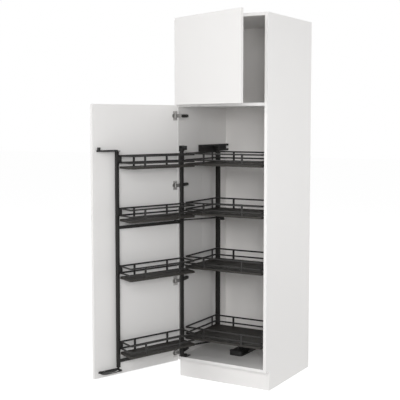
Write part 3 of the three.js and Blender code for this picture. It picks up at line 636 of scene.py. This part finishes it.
def cupSpots(heights):
    return [(hinges["screwX"], hinges["plateFace"], height + side * hinges["screwSide"], 0, 1, 0)
            for height in heights for side in (-1, 1)]


runnerSpots = [(runner["x"] + side * runner["screwSide"], y, runner["top"], 0, 0, 1)
               for y in runner["screwY"] for side in (-1, 1)]
bracketSpots = [(brackets["x"], y, brackets["top"], 0, 0, 1) for y in brackets["floorY"]]
bracketSpots += [(brackets["wallFace"], brackets["wallY"], z, 1, 0, 0) for z in brackets["wallHeights"]]
guideSpots = [(x, guides["face"], z, 0, 1, 0) for x in guides["x"] for z in guides["heights"]]
screwSets = {
    "lower_door_cup_screws": {"body": "lower_door", "spots": cupSpots(hinges["lower"]),
                              "radius": 3.4, "height": 1.6, "seed": 3},
    "upper_door_cup_screws": {"body": "upper_door", "spots": cupSpots(hinges["upper"]),
                              "radius": 3.4, "height": 1.6, "seed": 3},
    "runner_screws": {"body": "case", "spots": runnerSpots, "radius": 3.4, "height": 1.6, "seed": 5},
    "bracket_screws": {"body": "case", "spots": bracketSpots, "radius": 3.2, "height": 1.4, "seed": 7},
    "guide_screws": {"body": "lower_door", "spots": guideSpots, "radius": 2.8, "height": 1.2, "seed": 9},
}
for name, screw in screwSets.items():
    heads = grown(name, pointMesh(screw["spots"]), screwHeads, {
        "Radius": screw["radius"], "Height": screw["height"], "Seed": screw["seed"],
        "Finish": paints["nickel_steel"]})
    fitted(name, screw["body"], heads, "nickel_steel")
print("Screws made:", sum(len(screw["spots"]) for screw in screwSets.values()))


view = {"place": (2.3959, -4.3572, 1.5404), "yaw": 30.4448, "pitch": 4.467, "lens": 77.0907, "sensor": 36,
        "rise": -0.028}
camera = newObject("camera", bpy.data.cameras.new("camera"))
camera.location = view["place"]
camera.rotation_euler = (math.radians(90 - view["pitch"]), 0, math.radians(view["yaw"]))
camera.data.lens = view["lens"]
camera.data.sensor_width = view["sensor"]
camera.data.shift_y = view["rise"]
bpy.context.scene.camera = camera

lamps = {
    "key": {"place": (2.1, -5.7, 2.7), "aim": (0.0, 0.2, 1.1), "size": 2.6, "power": 112},
    "front left": {"place": (-2.6, -5.2, 2.2), "aim": (0.0, 0.2, 1.0), "size": 3.2, "power": 78},
    "right": {"place": (4.6, 4.4, 1.4), "aim": (0.3, 0.2, 1.0), "size": 3.2, "power": 110},
    "camera side": {"place": (2.9, -4.3, 1.95), "aim": (0.0, 0.2, 1.5), "size": 0.8, "power": 44},
}
for name, lamp in lamps.items():
    light = newObject(name, bpy.data.lights.new(name, "AREA"))
    light.data.shape = "SQUARE"
    light.data.size = lamp["size"]
    light.data.energy = lamp["power"]
    light.location = lamp["place"]
    light.rotation_euler = (Vector(lamp["aim"]) - Vector(lamp["place"])).to_track_quat("-Z", "Y").to_euler()

# The backdrop is plain white where a ray from the view, a gloss or a glass meets it. The floor glows up
# to white there and still catches the shadow.
backdrop = {"ambient": 0.36, "shown": 1.0, "floorTint": 0.8, "floorGlow": 0.7, "floorCatch": 0.8,
            "floorSize": 60}


def shownRay(paint):
    rays = [paint.add("ShaderNodeLightPath", output=name)
            for name in ("Is Camera Ray", "Is Glossy Ray", "Is Transmission Ray")]
    either = paint.add("ShaderNodeMath", {"operation": "MAXIMUM"}, {0: rays[0], 1: rays[1]})
    return paint.add("ShaderNodeMath", {"operation": "MAXIMUM"}, {0: either, 1: rays[2]})


world = bpy.data.worlds.new("studio")
bpy.context.scene.world = world
world.use_nodes = True
world.node_tree.nodes.clear()
sky = Tree(world.node_tree)
calm = sky.add("ShaderNodeBackground", {}, {"Color": grey(1.0), "Strength": backdrop["ambient"]})
shown = sky.add("ShaderNodeBackground", {}, {"Color": grey(1.0), "Strength": backdrop["shown"]})
mixed = sky.add("ShaderNodeMixShader", {}, {0: shownRay(sky), 1: calm, 2: shown})
sky.add("ShaderNodeOutputWorld", {}, {"Surface": mixed})

floorMaterial, ground = newPaint("pale floor")
plain = ground.add("ShaderNodeBsdfDiffuse", {}, {"Color": grey(backdrop["floorTint"])})
catch = ground.add("ShaderNodeBsdfDiffuse", {}, {"Color": grey(backdrop["floorCatch"])})
glow = ground.add("ShaderNodeEmission", {}, {"Color": grey(1.0), "Strength": backdrop["floorGlow"]})
both = ground.add("ShaderNodeAddShader", {}, {0: catch, 1: glow})
seen = ground.add("ShaderNodeMixShader", {}, {0: shownRay(ground), 1: plain, 2: both})
ground.add("ShaderNodeOutputMaterial", {}, {"Surface": seen})

reach = backdrop["floorSize"] / 2
floorMesh = bpy.data.meshes.new("floor")
floorMesh.from_pydata([(-reach, -reach, 0), (reach, -reach, 0), (reach, reach, 0), (-reach, reach, 0)], [],
                      [(0, 1, 2, 3)])
floorMesh.materials.append(floorMaterial)
newObject("floor", floorMesh)
bpy.context.scene.view_settings.view_transform = "Standard"
print("Camera, light and floor set")
